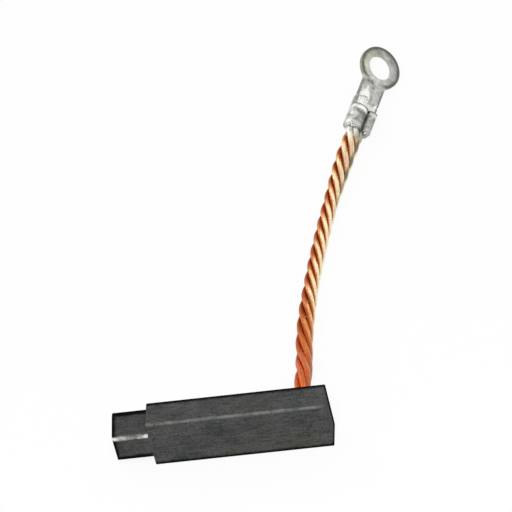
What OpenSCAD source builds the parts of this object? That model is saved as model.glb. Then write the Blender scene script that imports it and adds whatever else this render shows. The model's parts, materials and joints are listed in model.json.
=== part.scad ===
// Carbon brush with a stepped nose, a tamped-in copper pigtail and a crimped ring terminal.
// Millimetres. X along the brush, nose at -X; Y through its thickness, pigtail out of +Y; Z up.
// The origin is under the middle of the carbon block, on the surface that it lies on.

/* [Carbon block] */
// Length of the full section, from the shoulder to the spring end
body_length = 38.3; // [30:0.1:60]
// Height of the block
body_height = 12.5; // [10:0.1:20]
// Thickness of the block
body_thickness = 6.5; // [5.6:0.1:12]
// Length of the nose beyond the shoulder
nose_length = 7.7; // [4:0.1:14]
// Step down to the nose's top at the back edge
nose_step_back = 1.8; // [1:0.1:3]
// Step down to the nose's top at the front edge
nose_step_front = 3.1; // [1:0.1:3.6]
// Step up to the nose's underside
nose_step_bottom = 2.6; // [1:0.1:3]
// Chamfer on every edge of the block
edge_chamfer = 0.25; // [0.1:0.05:0.8]
// Wider chamfer on the nose's upper front edge
nose_chamfer = 0.55; // [0.2:0.05:1]

/* [Pigtail socket] */
// Bore of the blind socket in the back face
socket_d = 5.2; // [4.6:0.1:7]
// Depth of the socket
socket_depth = 4.2; // [3:0.1:4.6]
// Distance from the spring end to the socket's axis
socket_inset = 6.0; // [5:0.1:12]
// Running gap of the tamped fill in the socket
fill_clearance = 0.02; // [0.01:0.01:0.1]

/* [Pigtail] */
// Diameter of the stranded copper rope
rope_d = 3.4; // [2.4:0.1:3.7]
// Gap of the rope in the fill
rope_clearance = 0.05; // [0.02:0.01:0.2]

/* [Ring terminal] */
// Thickness of the tinned copper sheet
sheet = 0.8; // [0.5:0.05:1]
// Outside diameter of the ring
ring_d = 10.2; // [9:0.1:14]
// Stud hole
stud_hole_d = 5.8; // [4.2:0.1:6.6]
// Width of the tongue
tongue_width = 5.8; // [5:0.1:7]
// Fillet where the tongue meets the ring
tongue_fillet = 2.0; // [0.5:0.1:4]
// Distance from the stud hole to the mouth of the barrel
terminal_reach = 19.0; // [17:0.1:26]
// Length of the crimped barrel
barrel_length = 8.0; // [5:0.1:9]
// Width over the crimped barrel
barrel_width = 6.2; // [5.6:0.1:7.6]
// Height over the crimped barrel
barrel_height = 3.6; // [3.4:0.1:4.6]
// Radius of the barrel's lower corners
barrel_corner = 1.2; // [1.1:0.05:1.4]
// How far the barrel sits off the middle of the tongue, towards its wide wing
barrel_offset = 0.5; // [0:0.05:0.7]
// How far the seam sits off the middle of the barrel, towards its narrow wing
seam_offset = 1.0; // [0.5:0.05:1.1]
// How far the rolled wing tips dig in below the wide lobe's centre
wing_dig = 0.3; // [0.1:0.05:0.4]
// Open seam between the wings
seam_gap = 0.12; // [0.05:0.01:0.3]
// How far behind the front of the side walls the wings are rolled over
wing_setback = 2.5; // [1.2:0.1:3]
// Length over which the side walls run out into the tongue
wall_ramp = 1.4; // [0.8:0.1:2]
// Gap between the crimped strands and the barrel
crimp_clearance = 0.03; // [0.02:0.01:0.1]
// How far the cut strands stand out of the barrel towards the ring
strand_overhang = 0.7; // [0.3:0.1:1]

/* [Hidden] */
$fn = 64;

spring_end_x = (body_length + nose_length) / 2;
shoulder_x = spring_end_x - body_length;
nose_x = -spring_end_x;
back_y = body_thickness / 2;
socket_x = spring_end_x - socket_inset;
socket_z = body_height / 2;

// Route of the pigtail's centre line: the root in the socket, out of the back face,
// down to the surface behind the block and along it, then up into the barrel.
ROUTE = [
    [17.0, -0.8, 6.25], [17.0, 3.25, 6.25], [17.0, 8.5, 6.25], [17.0, 12.5, 5.6],
    [16.8, 16.5, 4.1], [16.5, 20.5, 2.6], [16.3, 24.5, 1.85], [16.3, 29.0, 1.75],
    [16.6, 34.0, 1.75], [17.0, 39.0, 1.75], [17.6, 44.5, 1.75], [18.4, 50.5, 1.75],
    [19.3, 56.5, 1.75], [20.3, 62.5, 1.75], [21.4, 68.5, 1.75], [22.6, 74.0, 1.8],
    [23.8, 79.0, 2.1], [25.4, 84.0, 2.75], [27.1, 88.8, 3.4]
];
ROPE_SIDES = 8;

// The terminal starts at the rope's end, is rolled about its long axis, and is pitched so that
// the rim of its ring lies on the surface.
rope_end = ROUTE[len(ROUTE) - 1];
rope_end_gap = 0.04;
terminal_heading = 18;
terminal_roll = 47;
rim_gap = 0.05;
barrel_axis_z = (barrel_height - sheet) / 2;
ring_rest_z = ring_d / 2 * sin(terminal_roll) + sheet / 2 * cos(terminal_roll) + rim_gap;
barrel_lift = barrel_offset * sin(terminal_roll) + barrel_axis_z * cos(terminal_roll);
terminal_pitch = asin((ring_rest_z - rope_end[2] + barrel_lift) / terminal_reach);
terminal_axis = [
    sin(terminal_heading) * cos(terminal_pitch),
    cos(terminal_heading) * cos(terminal_pitch),
    sin(terminal_pitch)
];

// Stations along the terminal, and the two lobes that the wings roll into: [middle, height, radius].
barrel_front_x = -terminal_reach + barrel_length;
wing_front_x = barrel_front_x - wing_setback;
ramp_end_x = barrel_front_x + wall_ramp;
wing_corner = 0.7;
wide_r = barrel_width / 4 + seam_offset / 2;
narrow_r = barrel_width / 4 - seam_offset / 2;
WIDE = [barrel_width / 2 - wide_r, barrel_height - wide_r, wide_r];
NARROW = [-barrel_width / 2 + narrow_r, barrel_height - narrow_r, narrow_r];

// Corner points of a polygon with each corner cut back by its own chamfer.
function cut_corners(corners, cuts) = [
    for (i = [0 : len(corners) - 1])
        let (
            here = corners[i],
            before = corners[(i + len(corners) - 1) % len(corners)],
            after = corners[(i + 1) % len(corners)]
        )
        each [
            here + cuts[i] * (before - here) / norm(before - here),
            here + cuts[i] * (after - here) / norm(after - here)
        ]
];

function rectangle(x0, x1, y0, y1) = [[x0, y0], [x1, y0], [x1, y1], [x0, y1]];

module chamfered_rectangle(x0, x1, y0, y1) {
    polygon(cut_corners(rectangle(x0, x1, y0, y1), [for (i = [0:3]) edge_chamfer]));
}

// A profile drawn in Y and Z, run along X between two stations.
module along_x(x0, x1) {
    translate([x0, 0, 0]) rotate([90, 0, 90]) linear_extrude(x1 - x0) children();
}

module body_bar() {
    intersection() {
        along_x(shoulder_x, spring_end_x) chamfered_rectangle(-back_y, back_y, 0, body_height);
        linear_extrude(body_height) chamfered_rectangle(shoulder_x, spring_end_x, -back_y, back_y);
        translate([0, back_y, 0]) rotate([90, 0, 0]) linear_extrude(body_thickness)
            chamfered_rectangle(shoulder_x, spring_end_x, 0, body_height);
    }
}

// The nose's top falls towards the front, so its section is a trapezium.
module nose_section() {
    polygon(cut_corners(
        [
            [-back_y, nose_step_bottom], [back_y, nose_step_bottom],
            [back_y, body_height - nose_step_back], [-back_y, body_height - nose_step_front]
        ],
        [edge_chamfer, edge_chamfer, edge_chamfer, nose_chamfer]
    ));
}

module nose_bar() {
    inner_x = shoulder_x + edge_chamfer * 2;
    intersection() {
        along_x(nose_x, inner_x) nose_section();
        linear_extrude(body_height) chamfered_rectangle(nose_x, inner_x + 1, -back_y, back_y);
        translate([0, back_y, 0]) rotate([90, 0, 0]) linear_extrude(body_thickness)
            chamfered_rectangle(nose_x, inner_x + 1, nose_step_bottom, body_height - nose_step_back);
    }
}

// Places a thing drawn upwards from the origin into the socket, its open end at the back face.
module in_socket() {
    translate([socket_x, back_y - socket_depth, socket_z]) rotate([-90, 0, 0]) children();
}

module brush_block() {
    color("dimgray") difference() {
        union() {
            body_bar();
            nose_bar();
        }
        in_socket() cylinder(d = socket_d, h = socket_depth + 1);
    }
}

// Copper powder tamped round the root of the rope holds it in the socket.
module tamped_fill() {
    color("sienna") in_socket() translate([0, 0, fill_clearance]) difference() {
        cylinder(d = socket_d - 2 * fill_clearance, h = socket_depth - fill_clearance);
        translate([0, 0, -1]) cylinder(d = rope_d + 2 * rope_clearance, h = socket_depth + 2);
    }
}

function unit(v) = v / norm(v);
function route_direction(i) = unit(
    i == 0 ? ROUTE[1] - ROUTE[0]
    : i == len(ROUTE) - 1 ? terminal_axis
    : unit(ROUTE[i + 1] - ROUTE[i]) + unit(ROUTE[i] - ROUTE[i - 1])
);
function rope_ring(i) =
    let (
        along = route_direction(i),
        side = unit(cross(along, [0, 0, 1])),
        up = cross(side, along)
    )
    [
        for (k = [0 : ROPE_SIDES - 1])
            let (turn = 360 * (k + 0.5) / ROPE_SIDES)
            ROUTE[i] + rope_d / 2 * (cos(turn) * side + sin(turn) * up)
    ];

module pigtail() {
    last = len(ROUTE) - 1;
    color("chocolate") polyhedron(
        points = [for (i = [0 : last]) each rope_ring(i)],
        faces = [
            [for (k = [0 : ROPE_SIDES - 1]) k],
            [for (k = [0 : ROPE_SIDES - 1]) last * ROPE_SIDES + ROPE_SIDES - 1 - k],
            for (i = [0 : last - 1], k = [0 : ROPE_SIDES - 1])
                let (next = (k + 1) % ROPE_SIDES)
                [
                    i * ROPE_SIDES + k, (i + 1) * ROPE_SIDES + k,
                    (i + 1) * ROPE_SIDES + next, i * ROPE_SIDES + next
                ]
        ]
    );
}

// The terminal's own frame: X from the barrel to the ring, Z out of the open side of the crimp,
// the stud hole's centre at the origin and the sheet lying on both sides of Z = 0.
module in_terminal_frame() {
    translate(rope_end) rotate([terminal_roll, -terminal_pitch, 90 - terminal_heading])
        translate([terminal_reach + rope_end_gap, -barrel_offset, -barrel_axis_z]) children();
}

// Flat blank: ring and tongue with fillets between them.
module blank_outline() {
    fillet_x = sqrt(pow(ring_d / 2 + tongue_fillet, 2) - pow(tongue_width / 2 + tongue_fillet, 2));
    touch = ring_d / 2 / (ring_d / 2 + tongue_fillet);
    circle(d = ring_d);
    translate([-terminal_reach, -tongue_width / 2])
        square([terminal_reach, tongue_width]);
    for (side = [-1, 1]) difference() {
        polygon([
            [-fillet_x, 0], [-fillet_x, side * tongue_width / 2],
            [-fillet_x * touch, side * (tongue_width / 2 + tongue_fillet) * touch], [0, 0]
        ]);
        translate([-fillet_x, side * (tongue_width / 2 + tongue_fillet)]) circle(r = tongue_fillet);
    }
}

// Section of the crimp, drawn from the outside of the sheet inwards by depth:
// a floor with round corners, side walls, and the lobes of the two rolled wings.
module crimp_section(depth) {
    half = barrel_width / 2 - depth;
    for (lobe = [WIDE, NARROW])
        translate([lobe[0], lobe[1]]) circle(r = lobe[2] - depth);
    for (side = [-1, 1])
        translate([side * (barrel_width / 2 - barrel_corner), barrel_corner])
            circle(r = barrel_corner - depth);
    translate([-half, barrel_corner]) square([2 * half, WIDE[1] - barrel_corner]);
    translate([-half, barrel_corner]) square([2 * (NARROW[2] - depth), NARROW[1] - barrel_corner]);
    translate([-barrel_width / 2 + barrel_corner, depth])
        square([barrel_width - 2 * barrel_corner, WIDE[1] - depth]);
}

// The two wing tips, rolled in at the seam and pushed down among the strands.
module wing_tips(depth) {
    translate([-seam_offset - sheet - depth, WIDE[1] - wing_dig - depth])
        square([2 * (sheet + depth), barrel_height]);
}

// A section drawn in the terminal's Y and Z from the underside up, run from one station to another.
module terminal_run(x0, x1) {
    translate([x0, barrel_offset, -sheet / 2]) rotate([90, 0, 90]) linear_extrude(x1 - x0) children();
}

// An outline drawn in the terminal's X and Z from the underside up, run across the whole barrel.
module across_barrel() {
    translate([0, ring_d, -sheet / 2]) rotate([90, 0, 0]) linear_extrude(2 * ring_d) children();
}

module rolled_wings() {
    terminal_run(-terminal_reach, wing_front_x) difference() {
        crimp_section(0);
        difference() {
            crimp_section(sheet);
            wing_tips(0);
        }
        translate([-seam_offset - seam_gap / 2, sheet * 1.5])
            square([seam_gap, barrel_height]);
    }
}

// In front of the rolled wings the side walls stay low, and run out into the tongue.
module open_walls() {
    intersection() {
        terminal_run(wing_front_x - 0.1, ramp_end_x) difference() {
            crimp_section(0);
            crimp_section(sheet);
        }
        across_barrel() polygon([
            [-terminal_reach, 0], [ramp_end_x, 0], [ramp_end_x, sheet], [barrel_front_x, WIDE[1]],
            [wing_front_x + wing_corner, WIDE[1]], [wing_front_x, barrel_height],
            [-terminal_reach, barrel_height]
        ]);
        translate([0, 0, -sheet]) linear_extrude(2 * barrel_height) polygon([
            [-terminal_reach, -barrel_width], [barrel_front_x, -barrel_width],
            [barrel_front_x, -barrel_width / 2 + barrel_offset], [ramp_end_x, -tongue_width / 2],
            [ramp_end_x, tongue_width / 2], [barrel_front_x, barrel_width / 2 + barrel_offset],
            [barrel_front_x, barrel_width], [-terminal_reach, barrel_width]
        ]);
    }
}

module ring_terminal() {
    color("silver") in_terminal_frame() {
        difference() {
            union() {
                intersection() {
                    translate([0, 0, -sheet / 2]) linear_extrude(sheet) blank_outline();
                    translate([ramp_end_x - 0.1, -ring_d, -sheet])
                        cube([2 * terminal_reach, 2 * ring_d, 2 * sheet]);
                }
                rolled_wings();
                open_walls();
            }
            translate([0, 0, -sheet]) cylinder(d = stud_hole_d, h = 2 * sheet);
        }
    }
}

// The end of the rope, pressed solid inside the barrel and cut off just past it.
module strand_end() {
    color("peru") in_terminal_frame()
        terminal_run(-terminal_reach, barrel_front_x + strand_overhang) difference() {
            crimp_section(sheet + crimp_clearance);
            wing_tips(crimp_clearance);
        }
}

brush_block();
tamped_fill();
pigtail();
strand_end();
ring_terminal();
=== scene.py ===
import json
import math
from collections import namedtuple

import bpy
import numpy as np
from mathutils import Matrix, Vector


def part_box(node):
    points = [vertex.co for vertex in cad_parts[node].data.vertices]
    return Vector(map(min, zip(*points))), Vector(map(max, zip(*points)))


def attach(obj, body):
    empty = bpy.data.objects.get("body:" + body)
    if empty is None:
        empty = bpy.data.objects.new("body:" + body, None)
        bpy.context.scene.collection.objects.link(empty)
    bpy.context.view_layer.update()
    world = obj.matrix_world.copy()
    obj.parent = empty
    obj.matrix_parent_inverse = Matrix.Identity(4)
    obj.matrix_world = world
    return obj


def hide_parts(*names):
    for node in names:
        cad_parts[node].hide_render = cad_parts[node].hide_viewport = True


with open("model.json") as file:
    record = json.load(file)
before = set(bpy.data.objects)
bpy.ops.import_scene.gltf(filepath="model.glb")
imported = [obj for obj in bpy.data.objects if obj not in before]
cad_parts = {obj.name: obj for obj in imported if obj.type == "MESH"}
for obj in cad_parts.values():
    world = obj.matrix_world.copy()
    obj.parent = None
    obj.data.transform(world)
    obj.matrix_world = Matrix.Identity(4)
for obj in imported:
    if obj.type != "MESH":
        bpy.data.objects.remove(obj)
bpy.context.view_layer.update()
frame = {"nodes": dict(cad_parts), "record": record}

# Lengths are in mm where a comment doesn't say metres. Blender's own values are in metres.
MM = 0.001

# ------------------------------------------------------------------ camera
AIM = Vector((4.68, 56.08, 0.0)) * MM  # the point that it looks at
CAMERA_DISTANCE = 1.1646  # metres
CAMERA_AZIMUTH = math.radians(11.60)
CAMERA_ELEVATION = math.radians(43.97)
CAMERA_ROLL = math.radians(-14.48)
CAMERA_LENS = 374.35


def make_camera():
    data = bpy.data.cameras.new("camera")
    data.lens = CAMERA_LENS
    data.sensor_width = 36
    data.clip_start = 0.01
    turn = (
        Matrix.Rotation(CAMERA_AZIMUTH, 4, "Z")
        @ Matrix.Rotation(math.pi / 2 - CAMERA_ELEVATION, 4, "X")
        @ Matrix.Rotation(CAMERA_ROLL, 4, "Z")
    )
    camera = bpy.data.objects.new("camera", data)
    camera.matrix_world = Matrix.Translation(AIM + turn.col[2].to_3d() * CAMERA_DISTANCE) @ turn
    bpy.context.scene.collection.objects.link(camera)
    bpy.context.scene.camera = camera


# ------------------------------------------------------------------ route and sizes, as in the source
# The pigtail's centre line, from its root in the block to the mouth of the crimp.
ROUTE = [
    (17.0, -0.8, 6.25), (17.0, 3.25, 6.25), (17.0, 8.5, 6.25), (17.0, 12.5, 5.6),
    (16.8, 16.5, 4.1), (16.5, 20.5, 2.6), (16.3, 24.5, 1.85), (16.3, 29.0, 1.75),
    (16.6, 34.0, 1.75), (17.0, 39.0, 1.75), (17.6, 44.5, 1.75), (18.4, 50.5, 1.75),
    (19.3, 56.5, 1.75), (20.3, 62.5, 1.75), (21.4, 68.5, 1.75), (22.6, 74.0, 1.8),
    (23.8, 79.0, 2.1), (25.4, 84.0, 2.75), (27.1, 88.8, 3.4),
]
ROPE_D = 3.4
NOSE_LENGTH = 7.7
NOSE_STEP_FRONT = 3.1
NOSE_BOTTOM = 2.6
EDGE_CHAMFER = 0.25
NOSE_CHAMFER = 0.55
TERMINAL_HEADING = math.radians(18)
TERMINAL_REACH = 19.0
SHEET = 0.8
RING_D = 10.2
BARREL_LENGTH = 8.0
BARREL_WIDTH = 6.2
BARREL_HEIGHT = 3.6
BARREL_CORNER = 1.2
BARREL_OFFSET = 0.5
SEAM_OFFSET = 1.0
WING_SETBACK = 2.5
WING_DIG = 0.3
STRAND_OVERHANG = 0.7


def unit(v):
    return v / np.linalg.norm(v, axis=-1, keepdims=True)


def mount(name):
    return next(m for m in frame["record"]["mounts"] if m["name"] == name)


def terminal_frame():
    """Origin in mm at the stud hole, and the terminal's X, Y and Z axes as rows."""
    stud = mount("stud_hole")
    normal = unit(np.array(stud["axis"]))
    heading = np.array([math.sin(TERMINAL_HEADING), math.cos(TERMINAL_HEADING), 0])
    pitch = math.atan2(-float(heading @ normal), normal[2])
    along = heading * math.cos(pitch) + np.array([0, 0, math.sin(pitch)])
    return np.array(stud["pos_m"]) / MM, np.stack([along, np.cross(normal, along), normal])


# ------------------------------------------------------------------ mesh helpers
def mesh_object(name, points_mm, faces, material):
    mesh = bpy.data.meshes.new(name)
    mesh.from_pydata((np.asarray(points_mm) * MM).tolist(), [], faces)
    mesh.materials.append(material)
    mesh.validate()
    mesh.update()
    piece = bpy.data.objects.new(name, mesh)
    bpy.context.scene.collection.objects.link(piece)
    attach(piece, "root")
    return piece


class TubeBuilder:
    """Collects many thin tubes into one mesh, with named values on its points."""

    def __init__(self, *value_names):
        self.points, self.faces, self.count = [], [], 0
        self.values = {name: [] for name in value_names}

    def add(self, line, radius, sides, start_side, **values):
        """One tube along line (n x 3, mm), its rings square to it, with flat ends.

        Each value is a number for the whole tube or an array with one entry a ring."""
        n = len(line)
        along = unit(np.gradient(line, axis=0))
        first = unit(start_side - (along @ start_side)[:, None] * along)
        second = np.cross(along, first)
        turn = 2 * np.pi * np.arange(sides) / sides
        rings = line[:, None, :] + radius * (
            np.cos(turn)[None, :, None] * first[:, None, :]
            + np.sin(turn)[None, :, None] * second[:, None, :]
        )
        self.points.append(rings.reshape(-1, 3))
        base = self.count
        for i in range(n - 1):
            for k in range(sides):
                after = (k + 1) % sides
                here = base + i * sides
                there = here + sides
                self.faces.append((here + k, here + after, there + after, there + k))
        self.faces.append(tuple(base + k for k in reversed(range(sides))))
        self.faces.append(tuple(base + (n - 1) * sides + k for k in range(sides)))
        self.count += n * sides
        for name, listed in self.values.items():
            listed.append(np.repeat(np.broadcast_to(values[name], n), sides))

    def make(self, name, slot, material):
        piece = mesh_object(name, np.concatenate(self.points), self.faces, material)
        for value_name, listed in self.values.items():
            layer = piece.data.attributes.new(value_name, "FLOAT", "POINT")
            layer.data.foreach_set("value", np.concatenate(listed).astype(np.float32))
        piece.data.polygons.foreach_set("use_smooth", [True] * len(piece.data.polygons))
        return piece


# ------------------------------------------------------------------ material helpers
class Shader:
    """A node material, with a short call for each kind of node that it uses."""

    def __init__(self, name):
        self.material = bpy.data.materials.new(name)
        self.material.use_nodes = True
        self.tree = self.material.node_tree
        self.surface = self.tree.nodes["Principled BSDF"]
        self.place = self.tree.nodes.new("ShaderNodeTexCoord").outputs["Object"]

    def node(self, kind, inputs, **settings):
        made = self.tree.nodes.new(kind)
        for key, value in settings.items():
            setattr(made, key, value)
        for key, value in inputs.items():
            self.feed(made.inputs[key], value)
        return made

    def feed(self, socket, value):
        if isinstance(value, bpy.types.NodeSocket):
            self.tree.links.new(value, socket)
        else:
            socket.default_value = value

    def attribute(self, name):
        return self.node("ShaderNodeAttribute", {}, attribute_name=name).outputs["Fac"]

    def parts(self, vector):
        return tuple(self.node("ShaderNodeSeparateXYZ", {"Vector": vector}).outputs)

    def along_axes(self, origin, axes):
        """How far the place lies from an origin along each of three axes, in metres."""
        kind = "ShaderNodeVectorMath"
        inputs = {0: self.place, 1: tuple(origin)}
        away = self.node(kind, inputs, operation="SUBTRACT").outputs["Vector"]
        dots = (self.node(kind, {0: away, 1: tuple(axis)}, operation="DOT_PRODUCT") for axis in axes)
        return tuple(dot.outputs["Value"] for dot in dots)

    def noise(self, per_metre, detail, rough, vector=None):
        return self.node(
            "ShaderNodeTexNoise",
            {"Vector": vector or self.place, "Scale": per_metre, "Detail": detail, "Roughness": rough},
        ).outputs["Fac"]

    def streaks(self, per_metre):
        """Noise with a scale for each axis, drawn out along the axis that has the least."""
        mapping = self.node("ShaderNodeMapping", {"Vector": self.place, "Scale": per_metre})
        return self.noise(1.0, 3.0, 0.6, mapping.outputs["Vector"])

    def cells(self, per_metre):
        """Distance to the nearest of many scattered points, in cell sizes."""
        voronoi = self.node("ShaderNodeTexVoronoi", {"Vector": self.place, "Scale": per_metre})
        return voronoi.outputs["Distance"]

    def remap(self, value, start, end, first, last):
        """Goes from first to last while value goes from start to end, and no further."""
        return self.node(
            "ShaderNodeMapRange",
            {"Value": value, "From Min": start, "From Max": end, "To Min": first, "To Max": last},
            clamp=True,
        ).outputs["Result"]

    def remap_mm(self, value, start, end, first, last):
        """remap for a value in metres, with start and end in mm."""
        return self.remap(value, start * MM, end * MM, first, last)

    def math(self, how, a, b=0.0):
        return self.node("ShaderNodeMath", {0: a, 1: b}, operation=how).outputs[0]

    def chain(self, how, values):
        total = values[0]
        for value in values[1:]:
            total = self.math(how, total, value)
        return total

    def plus(self, *values):
        return self.chain("ADD", values)

    def times(self, *values):
        return self.chain("MULTIPLY", values)

    def most(self, *values):
        return self.chain("MAXIMUM", values)

    def minus(self, a, b):
        return self.math("SUBTRACT", a, b)

    def absolute(self, value):
        return self.math("ABSOLUTE", value)

    def blend(self, fraction, a, b):
        return self.node("ShaderNodeMix", {"Factor": fraction, 2: a, 3: b}, data_type="FLOAT").outputs[0]

    def mix(self, fraction, a, b):
        """Mixes two colours, each a socket or red, green and blue."""
        a, b = (c if isinstance(c, bpy.types.NodeSocket) else (*c, 1) for c in (a, b))
        return self.node("ShaderNodeMix", {"Factor": fraction, 6: a, 7: b}, data_type="RGBA").outputs[2]

    def paint(self, colour, *coats):
        """Lays coats over a colour, each a mask and a colour, the last on top."""
        for mask, coat in coats:
            colour = self.mix(mask, colour, coat)
        return colour

    def ramp(self, value, stops):
        made = self.node("ShaderNodeValToRGB", {"Fac": value})
        marks = made.color_ramp.elements
        while len(marks) < len(stops):
            marks.new(0.5)
        for mark, (at, colour) in zip(marks, stops):
            mark.position = at
            mark.color = (*colour, 1)
        return made.outputs["Color"]

    def bump(self, height, distance, strength, over=None):
        inputs = {"Height": height, "Distance": distance * MM, "Strength": strength}
        if over is not None:
            inputs["Normal"] = over
        return self.node("ShaderNodeBump", inputs).outputs["Normal"]

    def set(self, **values):
        for key, value in values.items():
            self.feed(self.surface.inputs[key.replace("_", " ")], value)
        return self.material


# ------------------------------------------------------------------ the block's carbon
CARBON_CLOUDS = [(0.3, (0.044, 0.044, 0.043)), (0.5, (0.066, 0.066, 0.066)), (0.72, (0.085, 0.085, 0.084))]
OLIVE_TINT = (0.062, 0.061, 0.043)
BLUE_TINT = (0.040, 0.049, 0.058)
PALE_STREAK = (0.095, 0.095, 0.092)
DARK_STREAK = (0.030, 0.030, 0.030)
PALE_GRAIN = (0.10, 0.10, 0.098)
DARK_GRAIN = (0.016, 0.016, 0.016)
PORE = (0.012, 0.012, 0.012)
NOSE_SHADE = (0.02, 0.02, 0.02)
# worn upper front edge with a painted highlight
RUBBED_AND_LIT_CARBON = (0.22, 0.22, 0.215)
# polishing and a painted highlight on the nose's upper front edge
POLISHED_AND_LIT_CARBON = (0.60, 0.60, 0.595)
# painted shade for the edges that face away from the light
EDGE_SHADE = (0.003, 0.003, 0.003)
CARBON_GLOSS = 0.04  # specular level, which the painted edge shade takes away
NOSE_LINE = 0.42  # from the top of the nose's front down to its line of polishing and painted highlight
TIP_HOLDBACK = 0.5  # by which the painted edge shade at the nose's tip is narrower
END_FACE_SCALE = 0.45  # of distances on the pigtail's end face, so that its painted edge shade is wider

# In metres: the block's lowest and highest corners, where its nose starts, and the heights of
# the nose's bottom and of the top of its front.
Block = namedtuple("Block", "low high shoulder_x nose_low nose_high")


class CarbonWearAndLight:
    """Masks, from 0 to 1, of the block's nose and of the wearing, painted shade and painted highlights
    along its edges.
    """

    def __init__(self, s, block):
        self.s = s
        self.block = block
        self.x, self.y, self.z = s.parts(s.place)
        self.on_nose = s.remap(self.x, block.shoulder_x - 0.05 * MM, block.shoulder_x, 1.0, 0.0)
        self.below_top = s.minus(s.blend(self.on_nose, block.high[2], block.nose_high), self.z)
        self.behind_front = s.minus(self.y, block.low[1])
        self.wobble = s.remap(s.noise(800, 3.0, 0.6), 0.3, 0.7, -0.12 * MM, 0.12 * MM)
        self.patches = s.noise(420, 3.0, 0.65)

    def near(self, distance, full, none):
        """1 up to one distance and 0 from another on, both ragged and in mm."""
        return self.s.remap_mm(self.s.plus(distance, self.wobble), full, none, 1.0, 0.0)

    def shaded_edges(self):
        """Painted shade along the back, bottom and tip edges."""
        s, block = self.s, self.block
        facing = s.parts(s.node("ShaderNodeNewGeometry", {}).outputs["True Normal"])
        chamfer = s.blend(self.on_nose, EDGE_CHAMFER * MM, NOSE_CHAMFER * MM)
        scale = s.remap(facing[0], 0.0, 1.0, 1.0, END_FACE_SCALE)
        to_tip = s.plus(s.minus(self.x, block.low[0]), TIP_HOLDBACK * MM)
        to_back = s.times(s.minus(block.high[1], self.y), scale)
        to_bottom = s.times(s.minus(self.z, s.blend(self.on_nose, block.low[2], block.nose_low)), scale)
        edge_shade = 0.0
        for distance, square_to_edge in zip((to_tip, to_back, to_bottom), facing):
            beside_edge = s.remap(s.absolute(square_to_edge), 0.8, 0.95, 1.0, 0.0)
            along_edge = self.near(s.minus(distance, chamfer), 0.4, 1.0)
            edge_shade = s.most(edge_shade, s.times(along_edge, beside_edge))
        return edge_shade

    def rubbed_and_lit(self):
        """Worn in patches along the upper front edge, with a painted highlight."""
        s = self.s
        at_edge = self.near(s.plus(self.below_top, self.behind_front), 0.2, 0.6)
        return s.times(at_edge, s.remap(self.patches, 0.35, 0.65, 0.25, 1.0))

    def polished_and_lit(self):
        """A line of polishing and painted highlight along the nose's upper front edge, brightest at its
        two ends.
        """
        s, tip, shoulder = self.s, self.block.low[0], self.block.shoulder_x
        at_tip = s.remap(self.x, tip + 0.5 * MM, tip + 2.0 * MM, 1.0, 0.0)
        at_shoulder = s.remap(self.x, shoulder - 1.8 * MM, shoulder - 0.6 * MM, 0.0, 0.9)
        at_ends = s.remap(s.most(at_tip, at_shoulder), 0.0, 1.0, 0.2, 1.0)
        bright = s.most(at_ends, s.remap(self.patches, 0.45, 0.65, 0.0, 0.7))
        on_line = self.near(s.absolute(s.minus(self.below_top, NOSE_LINE * MM)), 0.16, 0.5)
        return s.times(bright, on_line, self.near(self.behind_front, 0.35, 0.6), self.on_nose)


def carbon_material(block):
    """Machined carbon graphite: grey-black, clouded, drawn along the block and finely porous, with painted
    shade and painted highlights along its edges.
    """
    s = Shader("carbon_graphite")
    wear_and_light = CarbonWearAndLight(s, block)
    edge_shade = wear_and_light.shaded_edges()
    polished_highlight = wear_and_light.polished_and_lit()
    cloud = s.noise(150, 4.0, 0.6)
    tint = s.noise(90, 2.0, 0.5)
    grain = s.noise(2600, 2.0, 0.7)
    drawn = s.streaks((300, 2000, 2000))
    pits = s.remap(s.cells(2000.0), 0.08, 0.25, 1.0, 0.0)
    colour = s.paint(
        s.ramp(cloud, CARBON_CLOUDS),
        (s.remap(tint, 0.52, 0.68, 0.0, 0.6), OLIVE_TINT),
        (s.remap(tint, 0.32, 0.45, 0.5, 0.0), BLUE_TINT),
        (s.remap(drawn, 0.5, 0.7, 0.0, 0.7), PALE_STREAK),
        (s.remap(drawn, 0.3, 0.46, 0.6, 0.0), DARK_STREAK),
        (s.remap(grain, 0.5, 0.7, 0.0, 0.3), PALE_GRAIN),
        (s.remap(grain, 0.32, 0.48, 0.7, 0.0), DARK_GRAIN),
        (s.times(pits, 0.6), PORE),
        (s.times(wear_and_light.on_nose, 0.15), NOSE_SHADE),
        # worn upper front edge with a painted highlight
        (s.times(wear_and_light.rubbed_and_lit(), 0.85), RUBBED_AND_LIT_CARBON),
        # painted shade along the back, bottom and tip edges
        (s.times(edge_shade, 0.95), EDGE_SHADE),
        # polishing and a painted highlight on the nose's upper front edge
        (polished_highlight, POLISHED_AND_LIT_CARBON),
    )
    relief = s.bump(s.plus(s.times(drawn, 0.8), grain), 0.02, 0.7)
    return s.set(
        Base_Color=colour,
        Metallic=s.times(polished_highlight, 0.6),
        Roughness=s.blend(polished_highlight, s.remap(cloud, 0.3, 0.7, 0.9, 0.75), 0.4),
        Normal=s.bump(s.times(pits, -1.0), 0.02, 0.5, relief),
        # the painted edge shade also takes the gloss away
        Specular_IOR_Level=s.blend(edge_shade, CARBON_GLOSS, 0.0),
    )


# ------------------------------------------------------------------ copper
POWDER_GRAINS = [(0.3, (0.10, 0.04, 0.02)), (0.55, (0.34, 0.15, 0.08)), (0.75, (0.62, 0.32, 0.18))]
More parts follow.
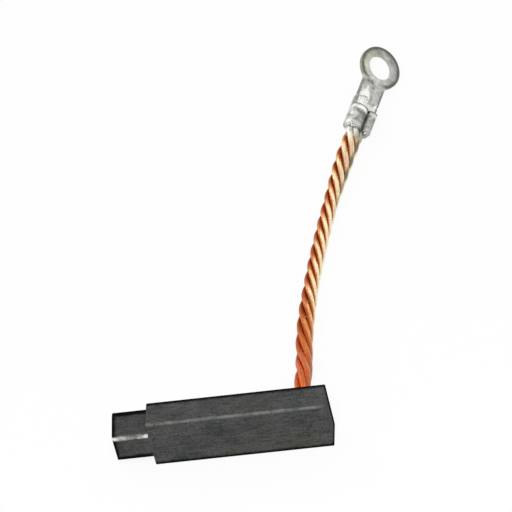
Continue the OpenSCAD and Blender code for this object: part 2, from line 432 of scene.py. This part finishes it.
# Ramps from groove to crest: the dark grooves are painted shade, the pale crests polishing and painted
# highlights.
WORN_COPPER = [
    (0.10, (0.28, 0.045, 0.006)), (0.42, (0.43, 0.082, 0.012)), (0.66, (0.59, 0.175, 0.044)),
    (0.81, (0.86, 0.45, 0.19)), (0.94, (0.98, 0.85, 0.59)),
]
FRESH_COPPER = [
    (0.1, (0.78, 0.14, 0.020)), (0.4, (0.72, 0.145, 0.032)), (0.75, (0.78, 0.235, 0.068)),
    (1.0, (0.80, 0.40, 0.24)),
]
TINNED_COPPER = [(0.1, (0.55, 0.51, 0.43)), (0.45, (0.84, 0.81, 0.73)), (0.9, (0.96, 0.94, 0.89))]
CRIMPED_WIRES = [(0.0, (0.76, 0.73, 0.67)), (0.35, (0.90, 0.89, 0.86)), (1.0, (0.97, 0.97, 0.96))]
DULL_COPPER = (0.46, 0.19, 0.11)
# painted shade for the rope's flanks
FLANK_SHADE = (0.14, 0.11, 0.06)
EVEN_HEIGHT = 0.50  # between groove and crest, for copper that shows neither


def powder_material():
    """Tamped copper powder: dull, brown and granular."""
    s = Shader("copper_powder")
    grain = s.noise(3800, 3.0, 0.7)
    return s.set(
        Base_Color=s.ramp(grain, POWDER_GRAINS),
        Metallic=0.7,
        Roughness=0.62,
        Normal=s.bump(s.plus(grain, s.cells(5200.0)), 0.06, 0.9),
    )


def polish_and_light_height(s, tone, side, from_exit):
    """From a groove's 0 to a crest's 1, shifted by wire, spot, flank and place along the rope.

    It is evened out on one flank, and near the block. Its crests carry painted highlights, its grooves
    painted shade, and one flank is painted lighter than the other."""
    height = s.plus(
        s.attribute("crest"),
        s.remap(tone, 0.0, 1.0, -0.1, 0.1),
        s.remap(s.noise(300, 3.0, 0.6), 0.3, 0.7, 0.06, -0.12),
        s.remap(side, -1.0, 1.0, -0.32, 0.18),
        s.remap(from_exit, 20, 38, -0.08, 0.05),
        s.remap(from_exit, 64, 80, 0.0, 0.16),
    )
    evened = s.most(s.remap(side, -0.9, -0.3, 0.5, 0.0), s.remap(from_exit, 28, 42, 0.35, 0.0))
    return s.blend(evened, height, EVEN_HEIGHT)


def shaded_flanks(s, side, from_exit, to_crimp):
    """Mask of painted shade along the rope's two flanks, on its way into the crimp."""
    return s.most(
        s.times(s.remap(side, 0.88, 0.98, 0.0, 0.75), s.remap(from_exit, 60, 74, 0.0, 1.0)),
        s.times(s.remap(side, -0.75, -0.95, 0.0, 0.6), s.remap(to_crimp, 5.0, 3.0, 0.0, 1.0)),
        s.times(s.remap(side, 0.5, 0.85, 0.0, 0.6), s.remap(to_crimp, 3.5, 2.5, 0.0, 1.0)),
    )


def copper_material():
    """Bare fine copper wire: fresh near the block, worn further out and tinned at the crimp.

    Worn copper is bright on the rope's crests from polishing and painted highlights, and brown with
    painted shade in its grooves. The attributes from_exit and to_crimp are in mm, and side goes from -1 to
    1 across the rope."""
    s = Shader("copper_wire")
    tone, side, from_exit, to_crimp = (
        s.attribute(name) for name in ("wire_tone", "side", "from_exit", "to_crimp")
    )
    height = polish_and_light_height(s, tone, side, from_exit)
    dull = s.remap(s.absolute(side), 0.55, 0.95, 0.0, 0.6)
    worn = s.remap(from_exit, 15, 32, 0.0, 1.0)
    ragged = s.remap(tone, 0.0, 1.0, -0.5, 0.5)
    tinned = s.remap(s.plus(to_crimp, ragged), 2.0, 3.0, 1.0, 0.0)
    colour = s.paint(
        # groove-to-crest ramps: painted shade in the grooves and painted highlights on the crests
        s.ramp(height, FRESH_COPPER),
        (dull, DULL_COPPER),
        (worn, s.ramp(height, WORN_COPPER)),
        (tinned, s.ramp(height, TINNED_COPPER)),
        # painted shade along the flanks near the crimp
        (shaded_flanks(s, side, from_exit, to_crimp), FLANK_SHADE),
    )
    return s.set(
        Base_Color=colour,
        Metallic=1.0,
        Roughness=s.remap(height, 0.2, 0.9, 0.5, 0.26),
        Normal=s.bump(s.noise(2600, 2.0, 0.6), 0.01, 0.3),
    )


def crimped_wire_material():
    """Copper wires pressed together in the crimp and wetted with tin."""
    s = Shader("crimped_wire")
    return s.set(
        Base_Color=s.ramp(s.attribute("wire_tone"), CRIMPED_WIRES),
        Metallic=1.0,
        Roughness=0.32,
        Normal=s.bump(s.noise(2600, 2.0, 0.6), 0.01, 0.3),
    )


# ------------------------------------------------------------------ the terminal's tin plate
TIN_CLOUDS = [
    (0.32, (0.18, 0.18, 0.165)), (0.45, (0.43, 0.43, 0.405)), (0.56, (0.57, 0.57, 0.54)),
    (0.7, (0.80, 0.80, 0.78)),
]
TIN_FLECK = (0.22, 0.22, 0.20)
GREENISH_TIN = (0.56, 0.64, 0.44)
GREY_TIN = (0.34, 0.34, 0.33)
DIM_TIN = (0.27, 0.28, 0.24)
# painted highlight round the stud hole
HOLE_HIGHLIGHT = (0.82, 0.83, 0.78)
# rim at the shearing cut, partly painted shade
SHEARED_RIM_SHADE = (0.09, 0.09, 0.08)
# long edges of the tongue, partly painted shade
TONGUE_EDGE_SHADE = (0.14, 0.14, 0.125)
# painted highlight on the tongue
TONGUE_HIGHLIGHT = (0.93, 0.93, 0.92)
PALE_FLANK = (0.82, 0.82, 0.80)
WING_STAIN = (0.12, 0.12, 0.105)
# painted shade along the wings' front lip
WING_LIP_SHADE = (0.16, 0.16, 0.145)
# painted highlight arc on the wings
WING_HIGHLIGHT_ARC = (0.95, 0.95, 0.93)
PALE_MOUTH = (0.93, 0.93, 0.90)

# The painted highlight on the tongue: its middle line, and from where and how steeply it tapers.
PATCH_Y = 1.1
PATCH_TAPER_X = -8.6
PATCH_TAPER = 0.5


def ring_coats(s, x, radius, wobble, ring_r, hole_r):
    """A painted highlight round the stud hole, and a dark rim at the sheet's shearing cut that is partly
    painted shade.
    """
    rim = s.plus(radius, wobble)
    on_ring = s.remap_mm(x, -(ring_r - 0.6), -(ring_r - 1.4), 0.0, 1.0)
    # painted highlight round the stud hole
    hole_highlight = s.remap_mm(rim, hole_r + 0.15, hole_r + 0.6, 0.15, 0.0)
    # dark rim at the shearing cut, partly painted shade
    sheared_and_shaded = s.times(
        s.remap_mm(rim, ring_r - 1.1, ring_r - 0.45, 0.0, 0.88),
        s.remap_mm(radius, ring_r - 0.12, ring_r - 0.02, 1.0, 0.5),
    )
    return (s.times(hole_highlight, on_ring), HOLE_HIGHLIGHT), (s.times(sheared_and_shaded, on_ring), SHEARED_RIM_SHADE)


def tongue_coats(s, x, y, z, wobble, cloud, ring_r):
    """Dark long edges, partly painted shade, a painted highlight that tapers towards the ring, and a paler
    flank.
    """
    # long edges darkened, partly with painted shade
    edges = s.times(
        s.remap_mm(s.plus(s.absolute(y), wobble), 2.3, 2.75, 0.0, 0.8),
        s.remap_mm(x, -(ring_r - 0.4), -(ring_r + 0.4), 0.0, 1.0),
        s.remap_mm(z, 0.7, 0.5, 0.0, 1.0),
    )
    # painted highlight patch on the tongue
    beside = s.absolute(s.minus(y, PATCH_Y * MM))
    taper = s.most(s.times(s.minus(x, PATCH_TAPER_X * MM), PATCH_TAPER), 0.0)
    patch = s.remap_mm(s.plus(beside, taper, wobble), 0.95, 1.5, 0.95, 0.0)
    patch = s.times(patch, s.remap_mm(z, 0.9, 0.6, 0.0, 1.0))
    flank = s.times(
        s.remap_mm(y, 2.0, 2.9, 0.0, 0.25),
        s.remap_mm(x, -9.5, -10.5, 0.0, 1.0),
        s.remap(cloud, 0.35, 0.5, 0.3, 1.0),
    )
    return (edges, TONGUE_EDGE_SHADE), (patch, TONGUE_HIGHLIGHT), (flank, PALE_FLANK)


def wing_coats(s, x, y, z, wobble, wing_x):
    """Stains on the rolled wings, painted shade along the front lip, a painted highlight arc behind it and
    a paler mouth.
    """
    ahead = s.plus(s.minus(x, wing_x * MM), wobble)
    high = s.remap_mm(z, 0.9, 1.3, 0.0, 1.0)
    stains = s.times(
        s.remap_mm(ahead, -3.6, -2.2, 0.25, 1.0),
        s.remap_mm(ahead, -1.5, -1.2, 1.0, 0.0),
        s.remap(s.noise(900, 3.0, 0.6), 0.42, 0.58, 0.15, 0.85),
        s.remap_mm(y, 2.0, 2.8, 1.0, 0.3),
        high,
    )
    # painted shade along the wings' front lip
    lip = s.times(s.remap_mm(ahead, -0.35, -0.15, 0.0, 0.8), high)
    # painted highlight arc behind the lip
    arc = s.times(
        s.remap_mm(ahead, -1.25, -0.95, 0.0, 1.0),
        s.remap_mm(ahead, -0.55, -0.35, 1.0, 0.0),
        s.remap_mm(y, 3.2, 2.4, 0.2, 1.0),
        s.remap_mm(y, -0.6, 0.0, 0.45, 1.0),
        high,
    )
    mouth = s.times(s.remap_mm(ahead, -5.2, -4.5, 0.3, 0.0), s.remap_mm(y, -0.6, 0.0, 0.0, 1.0))
    return (stains, WING_STAIN), (lip, WING_LIP_SHADE), (arc, WING_HIGHLIGHT_ARC), (mouth, PALE_MOUTH)


def tin_material(ring_r, hole_r, wing_x):
    """Matt tin plate on stamped copper, clouded, stained and marked by rubbing, with painted highlights
    and painted shade.

    The places are in the terminal's own axes, from the middle of the sheet at the stud hole:
    x leads away from the crimp, y across to the left and z up out of the sheet."""
    s = Shader("tin_plate")
    origin, axes = terminal_frame()
    x, y, z = s.along_axes(origin * MM, axes)
    radius = s.math("SQRT", s.plus(s.times(x, x), s.times(y, y)))
    cloud = s.noise(620, 4.0, 0.6)
    fine = s.noise(2400, 3.0, 0.6)
    rub = s.streaks((900, 300, 2600))
    wobble = s.remap(s.noise(700, 3.0, 0.6), 0.3, 0.7, -0.2 * MM, 0.2 * MM)
    colour = s.paint(
        s.ramp(cloud, TIN_CLOUDS),
        (s.remap(fine, 0.5, 0.75, 0.0, 0.6), TIN_FLECK),
        (s.times(s.remap_mm(y, 1.5, 4.0, 0.0, 0.65), s.remap_mm(x, -5.0, -3.0, 0.0, 1.0)), GREENISH_TIN),
        (s.remap_mm(y, -1.5, -3.5, 0.0, 0.6), GREY_TIN),
        (s.remap_mm(x, 0.0, 2.5, 0.0, 0.4), DIM_TIN),
        *ring_coats(s, x, radius, wobble, ring_r, hole_r),
        *tongue_coats(s, x, y, z, wobble, cloud, ring_r),
        *wing_coats(s, x, y, z, wobble, wing_x),
    )
    return s.set(
        Base_Color=colour,
        Metallic=0.8,
        Roughness=s.remap(rub, 0.3, 0.7, 0.36, 0.58),
        Normal=s.bump(s.plus(fine, s.times(rub, 0.5)), 0.014, 0.5),
    )


# ------------------------------------------------------------------ the pigtail
def packed(count):
    """Radius of each of count equal rods that stand in a ring inside a round of radius 1."""
    sine = math.sin(math.pi / count)
    return sine / (1 + sine)


ROPE_BUNDLES = 5
WIRES_PER_BUNDLE = 17
ROPE_LAY = 21.0  # length in which the bundles go once round the rope
BUNDLE_LAY = 13.0  # length in which the wires go once round their bundle
BUNDLE_FILL = 0.96  # a bundle's size, as a share of the room that it has in the rope
WIRE_FILL = 1.04  # a wire's thickness, as a share of the room that it has in its bundle
CORE_INSET = 1.5  # from a bundle's outside to the core that fills it, in wire radii
ROPE_R = ROPE_D / 2
BUNDLE_ROOM = ROPE_R * packed(ROPE_BUNDLES)
BUNDLE_R = BUNDLE_ROOM * BUNDLE_FILL
WIRE_R = BUNDLE_R * packed(WIRES_PER_BUNDLE)

RING_STEP = 0.75  # between the rings of a wire's tube
CURVE_STEPS = 40  # between two points of the route
WIRE_SIDES = 5
CORE_SIDES = 8

# The twist near the block, as a share of the full one, and where and how fast it tightens.
SLACK_TWIST = 0.45
TWIST_AT = 30.0
TWIST_OVER = 6.0

# How the rope's section changes, as shares of its size, and the stretches in which it does so.
SWELL = 0.02  # larger everywhere
ROOT_SWELL = 0.10  # larger still near the block
SPLAY = 0.31  # wider at the crimp
SQUASH = 0.42  # lower at the crimp
ROOT_SWELL_STARTS = (2, 8)  # past the block's face
ROOT_SWELL_ENDS = (37, 47)  # along the centre line from its root
SPLAY_STARTS = (22, 8)  # before the crimp
SQUASH_STARTS = (5, 0)  # before the crimp

# How far from the rope's middle its grooves and its crests lie, in rope radii.
GROOVE_OUT = 0.50
CREST_OUT = 0.94

# Tones go from 0, dark, to 1, bright.
CORE_TONE = 0.1
MIDDLE_TONE = 0.5
BUNDLE_TONE_SPREAD = 0.12
WIRE_TONE_SPREAD = 0.2

# How far the wires stray from an even twist: in radians round their bundle, and in and out as
# a share of the radius that they lie at. The waves are in mm for each radian.
ROLL_STRAY = 0.25
ROLL_WAVE = 6
REACH_STRAY = 0.05
REACH_WAVES = (2.5, 5)
ANY_PHASE = (0, 6.3)
PIGTAIL_SEED = 7


def ease(value, start, end):
    """0 at start, 1 at end, smooth in between and level outside them."""
    t = np.clip((value - start) / (end - start), 0, 1)
    return t * t * (3 - 2 * t)


def round_about(angle, first, second):
    """Directions at these angles, counted from first towards second."""
    return np.cos(angle)[:, None] * first + np.sin(angle)[:, None] * second


def smooth_route():
    """How far along the rope its evenly spaced places are, and these places on a smooth curve."""
    knots = np.array(ROUTE)
    before = np.vstack([2 * knots[0] - knots[1], knots[:-1]])
    after = np.vstack([knots[1:], 2 * knots[-1] - knots[-2]])
    slope = (after - before) / 2
    terminal_axis = terminal_frame()[1][0]
    slope[-1] = terminal_axis * np.linalg.norm(knots[-1] - knots[-2])
    t = np.linspace(0, 1, CURVE_STEPS, endpoint=False)[:, None]
    line = []
    for i in range(len(knots) - 1):
        line.append(
            (2 * t**3 - 3 * t**2 + 1) * knots[i] + (t**3 - 2 * t**2 + t) * slope[i]
            + (3 * t**2 - 2 * t**3) * knots[i + 1] + (t**3 - t**2) * slope[i + 1]
        )
    line = np.vstack([*line, knots[-1:]])
    run = np.concatenate([[0], np.cumsum(np.linalg.norm(np.diff(line, axis=0), axis=1))])
    at = np.linspace(0, run[-1], int(round(run[-1] / RING_STEP)) + 1)
    return at, np.stack([np.interp(at, run, line[:, k]) for k in range(3)], axis=1)


def rope_turn(at):
    """Angle of the bundles along the rope: slack near the block, full twist further out."""
    tightness = SLACK_TWIST + (1 - SLACK_TWIST) / (1 + np.exp(-(at - TWIST_AT) / TWIST_OVER))
    tightened = np.cumsum(np.diff(at) * (tightness[1:] + tightness[:-1]) / 2)
    return np.concatenate([[0], tightened]) * 2 * np.pi / ROPE_LAY


class RopeShape:
    """The rope's places, directions and changes of section, and the tubes laid along it.

    Each array has one entry for each ring, so all tubes follow the same places."""

    def __init__(self):
        self.at, self.line = smooth_route()
        self.along = unit(np.gradient(self.line, axis=0))
        self.side = unit(np.cross(self.along, [0, 0, 1]))
        self.up = np.cross(self.side, self.along)
        self.turn = rope_turn(self.at)
        self.from_exit = self.at - math.dist(ROUTE[0], ROUTE[1])
        self.to_crimp = self.at[-1] - self.at
        at_root = ease(self.from_exit, *ROOT_SWELL_STARTS) * (1 - ease(self.at, *ROOT_SWELL_ENDS))
        self.swell = SWELL + ROOT_SWELL * at_root
        self.splay = SPLAY * ease(self.to_crimp, *SPLAY_STARTS)
        self.squash = SQUASH * ease(self.to_crimp, *SQUASH_STARTS)
        self.tubes = TubeBuilder("wire_tone", "crest", "side", "from_exit", "to_crimp")

    def shaped(self, points, radius):
        """Swelled, splayed and squashed as the rope is there, and flat where it rests on the table."""
        across, upright = terminal_frame()[1][1:]
        offset = points - self.line
        moved = (
            points + self.swell[:, None] * offset
            + (self.splay * (offset @ across))[:, None] * across
            - (self.squash * (offset @ upright))[:, None] * upright
        )
        moved[:, 2] = np.maximum(moved[:, 2], radius)
        return moved

    def add_tube(self, centre, radius, sides, tone, start_side):
        offset = (centre - self.line) / ROPE_R
        out = np.linalg.norm(offset, axis=1)
        self.tubes.add(
            self.shaped(centre, radius), radius, sides, start_side,
            wire_tone=tone,
            crest=np.clip((out - GROOVE_OUT) / (CREST_OUT - GROOVE_OUT), 0, 1),
            side=np.sum(offset * self.side, axis=1) / np.maximum(out, GROOVE_OUT),
            from_exit=self.from_exit,
            to_crimp=self.to_crimp,
        )

    def add_bundle(self, number, rng):
        """A core, and round it a ring of fine wires that twist against the rope's own twist."""
        out = round_about(self.turn + 2 * math.pi * number / ROPE_BUNDLES, self.side, self.up)
        sideways = np.cross(out, self.along)
        centre = self.line + (ROPE_R - BUNDLE_ROOM) * out
        self.add_tube(centre, BUNDLE_R - CORE_INSET * WIRE_R, CORE_SIDES, CORE_TONE, out[0])
        bundle_tone = MIDDLE_TONE + rng.uniform(-BUNDLE_TONE_SPREAD, BUNDLE_TONE_SPREAD)
        for w in range(WIRES_PER_BUNDLE):
            roll = 2 * math.pi * (w / WIRES_PER_BUNDLE - self.at / BUNDLE_LAY)
            roll = roll + ROLL_STRAY * np.sin(self.at / ROLL_WAVE + number)
            wave = np.sin(self.at / rng.uniform(*REACH_WAVES) + rng.uniform(*ANY_PHASE))
            reach = (BUNDLE_R - WIRE_R) * (1 + REACH_STRAY * wave)
            wire = centre + reach[:, None] * round_about(roll, out, sideways)
            tone = float(np.clip(bundle_tone + rng.normal(0, WIRE_TONE_SPREAD), 0, 1))
            self.add_tube(wire, WIRE_R * WIRE_FILL, WIRE_SIDES, tone, out[0])


def make_pigtail():
    """Five twisted bundles of fine wires, spread and flattened where they enter the crimp."""
    shape = RopeShape()
    rng = np.random.default_rng(PIGTAIL_SEED)
    for number in range(ROPE_BUNDLES):
        shape.add_bundle(number, rng)
    rope = shape.tubes.make("pigtail_rope", "copper", copper_material())
    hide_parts("pigtail")
    return rope, shape.at[-1] * MM


# ------------------------------------------------------------------ strands in the crimp
STRAND_PITCH = 0.19
STRAND_ROW = 0.866 * STRAND_PITCH  # height of a row that lies in the gaps of the one below
STRAND_FILL = 0.55  # a strand's radius, in pitches
STRAND_SIDES = 6
STRAND_INSET = 0.02  # from the barrel's end at the rope
STRAND_RAGGED = 0.16  # spread of the cut ends
INNER_RINGS = (2.5, 0.8)  # from a strand's two ends to the rings between them
CRIMP_GAP = 0.03  # between the sheet and the strands
STRAND_SEED = 3


def in_crimp(y, z):
    """True for a point of the barrel's section, above its underside, that the strands may fill."""
    inner = SHEET + CRIMP_GAP
    half = BARREL_WIDTH / 2
    wide_r = (half + SEAM_OFFSET) / 2
    narrow_r = (half - SEAM_OFFSET) / 2
    wide_y, wide_z = half - wide_r, BARREL_HEIGHT - wide_r
    narrow_y, narrow_z = narrow_r - half, BARREL_HEIGHT - narrow_r
    corner_y = half - BARREL_CORNER
    spaces = (
        math.hypot(y - wide_y, z - wide_z) < wide_r - inner,
        math.hypot(y - narrow_y, z - narrow_z) < narrow_r - inner,
        math.hypot(abs(y) - corner_y, z - BARREL_CORNER) < BARREL_CORNER - inner,
        abs(y) < half - inner and BARREL_CORNER < z < wide_z,
        abs(y - narrow_y) < narrow_r - inner and BARREL_CORNER < z < narrow_z,
        abs(y) < corner_y and inner < z < wide_z,
    )
    in_wing_tips = abs(y + SEAM_OFFSET) < inner and z > wide_z - WING_DIG - CRIMP_GAP
    return any(spaces) and not in_wing_tips


def strand_fits(y, z):
    """True if six points round a strand's middle are all in the crimp."""
    reach = STRAND_PITCH / 2
    angles = [2 * math.pi * k / 6 for k in range(6)]
    return all(in_crimp(y + reach * math.cos(t), z + reach * math.sin(t)) for t in angles)


def make_strand_end():
    """Fine wires side by side in the crimp, cut off just past its side walls."""
    origin, axes = terminal_frame()
    rng = np.random.default_rng(STRAND_SEED)
    tubes = TubeBuilder("wire_tone")
    rows = int(BARREL_HEIGHT / STRAND_ROW) + 1
    columns = int(BARREL_WIDTH / STRAND_PITCH) + 1
    cut = -TERMINAL_REACH + BARREL_LENGTH + STRAND_OVERHANG
    back = -TERMINAL_REACH + STRAND_INSET
    for j in range(rows):
        for i in range(-columns // 2, columns // 2 + 1):
            y = (i + 0.5 * (j % 2)) * STRAND_PITCH
            z = j * STRAND_ROW
            if not strand_fits(y, z):
                continue
            front = cut - abs(rng.normal(0, STRAND_RAGGED))
            stations = (back, back + INNER_RINGS[0], front - INNER_RINGS[1], front)
            local = np.array([(x, y + BARREL_OFFSET, z - SHEET / 2) for x in stations])
            line = origin + local @ axes
            tone = float(rng.uniform(0, 1))
            tubes.add(line, STRAND_PITCH * STRAND_FILL, STRAND_SIDES, axes[1], wire_tone=tone)
    piece = tubes.make("crimped_strands", "copper", crimped_wire_material())
    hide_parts("strand_end")
    return piece


# ------------------------------------------------------------------ surroundings, in metres
WORLD_LIGHT = 0.55  # the world's strength as a light
BACKDROP = 1.0  # its strength to the eye
TABLE_HALF = 3.0
TABLE_Z = -0.05 * MM
TABLE_WHITE = (0.86, 0.86, 0.86, 1)
TABLE_GLOW = 0.9  # share of the table's look that is plain white, to the eye only


def seen_by_eye(tree):
    """1 for camera, glossy and transmission rays, 0 for the rays that carry light."""
    rays = tree.nodes.new("ShaderNodeLightPath")
    total = rays.outputs["Is Camera Ray"]
    for name in ("Is Glossy Ray", "Is Transmission Ray"):
        most = tree.nodes.new("ShaderNodeMath")
        most.operation = "MAXIMUM"
        tree.links.new(total, most.inputs[0])
        tree.links.new(rays.outputs[name], most.inputs[1])
        total = most.outputs[0]
    return total


def make_world():
    world = bpy.data.worlds.new("studio")
    bpy.context.scene.world = world
    world.use_nodes = True
    tree = world.node_tree
    back = tree.nodes["Background"]
    back.inputs["Color"].default_value = (1, 1, 1, 1)
    level = tree.nodes.new("ShaderNodeMapRange")
    level.inputs["To Min"].default_value = WORLD_LIGHT
    level.inputs["To Max"].default_value = BACKDROP
    tree.links.new(seen_by_eye(tree), level.inputs["Value"])
    tree.links.new(level.outputs["Result"], back.inputs["Strength"])


def table_material():
    """White and matt, with a glow of its own to the eye, so that only a faint shadow stays."""
    material = bpy.data.materials.new("white_table")
    material.use_nodes = True
    tree = material.node_tree
    surface = tree.nodes["Principled BSDF"]
    surface.inputs["Base Color"].default_value = TABLE_WHITE
    surface.inputs["Roughness"].default_value = 0.9
    surface.inputs["Specular IOR Level"].default_value = 0.1
    glow = tree.nodes.new("ShaderNodeEmission")
    glow.inputs["Color"].default_value = (1, 1, 1, 1)
    share = tree.nodes.new("ShaderNodeMath")
    share.operation = "MULTIPLY"
    share.inputs[1].default_value = TABLE_GLOW
    mix = tree.nodes.new("ShaderNodeMixShader")
    tree.links.new(seen_by_eye(tree), share.inputs[0])
    tree.links.new(share.outputs[0], mix.inputs["Fac"])
    tree.links.new(surface.outputs["BSDF"], mix.inputs[1])
    tree.links.new(glow.outputs["Emission"], mix.inputs[2])
    tree.links.new(mix.outputs["Shader"], tree.nodes["Material Output"].inputs["Surface"])
    return material


def make_floor():
    """A white table top, just under the object."""
    corners = [(-1, -1), (1, -1), (1, 1), (-1, 1)]
    mesh = bpy.data.meshes.new("table_top")
    mesh.from_pydata([(x * TABLE_HALF, y * TABLE_HALF, TABLE_Z) for x, y in corners], [], [(0, 1, 2, 3)])
    mesh.materials.append(table_material())
    floor = bpy.data.objects.new("table_top", mesh)
    bpy.context.scene.collection.objects.link(floor)


def add_lamp(name, direction, distance, size, watts):
    data = bpy.data.lights.new(name, "AREA")
    data.shape = "DISK"
    data.size = size
    data.energy = watts
    lamp = bpy.data.objects.new(name, data)
    towards = Vector(direction).normalized()
    lamp.location = AIM + towards * distance
    lamp.rotation_euler = towards.to_track_quat("Z", "Y").to_euler()
    bpy.context.scene.collection.objects.link(lamp)


def make_lamps():
    add_lamp("key", direction=(0.1, -0.6, 0.8), distance=0.7, size=0.2, watts=2.8)
    add_lamp("back", direction=(-0.5, 0.6, 0.7), distance=0.8, size=0.3, watts=0.8)


# ------------------------------------------------------------------ the source's own pieces
SHEET_EDGE_ROUNDING = 0.14
SHARP_EDGE = math.radians(40)


def finish_node(node, material):
    piece = frame["nodes"][node]
    piece.data.materials.clear()
    piece.data.materials.append(material)
    return piece


def finish_terminal():
    """Tin plate, and a fine rounding of the sheet's edges."""
    hole_r = mount("stud_hole")["dims"]["r_mm"]
    wing_x = -TERMINAL_REACH + BARREL_LENGTH - WING_SETBACK
    terminal = finish_node("ring_terminal", tin_material(RING_D / 2, hole_r, wing_x))
    bevel = terminal.modifiers.new("soft_edges", "BEVEL")
    bevel.width = SHEET_EDGE_ROUNDING * MM
    bevel.segments = 2
    bevel.limit_method = "ANGLE"
    bevel.angle_limit = SHARP_EDGE
    return terminal


def finish_block():
    low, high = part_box("brush_block")
    shoulder_x = low[0] + NOSE_LENGTH * MM
    nose_high = high[2] - NOSE_STEP_FRONT * MM
    block = Block(low, high, shoulder_x, NOSE_BOTTOM * MM, nose_high)
    finish_node("brush_block", carbon_material(block))


# ------------------------------------------------------------------ putting it together
make_camera()
rope, rope_length = make_pigtail()
strands = make_strand_end()
terminal = finish_terminal()

finish_block()
finish_node("tamped_fill", powder_material())

make_world()
make_floor()
make_lamps()

scene = bpy.context.scene
scene.view_settings.view_transform = "Standard"
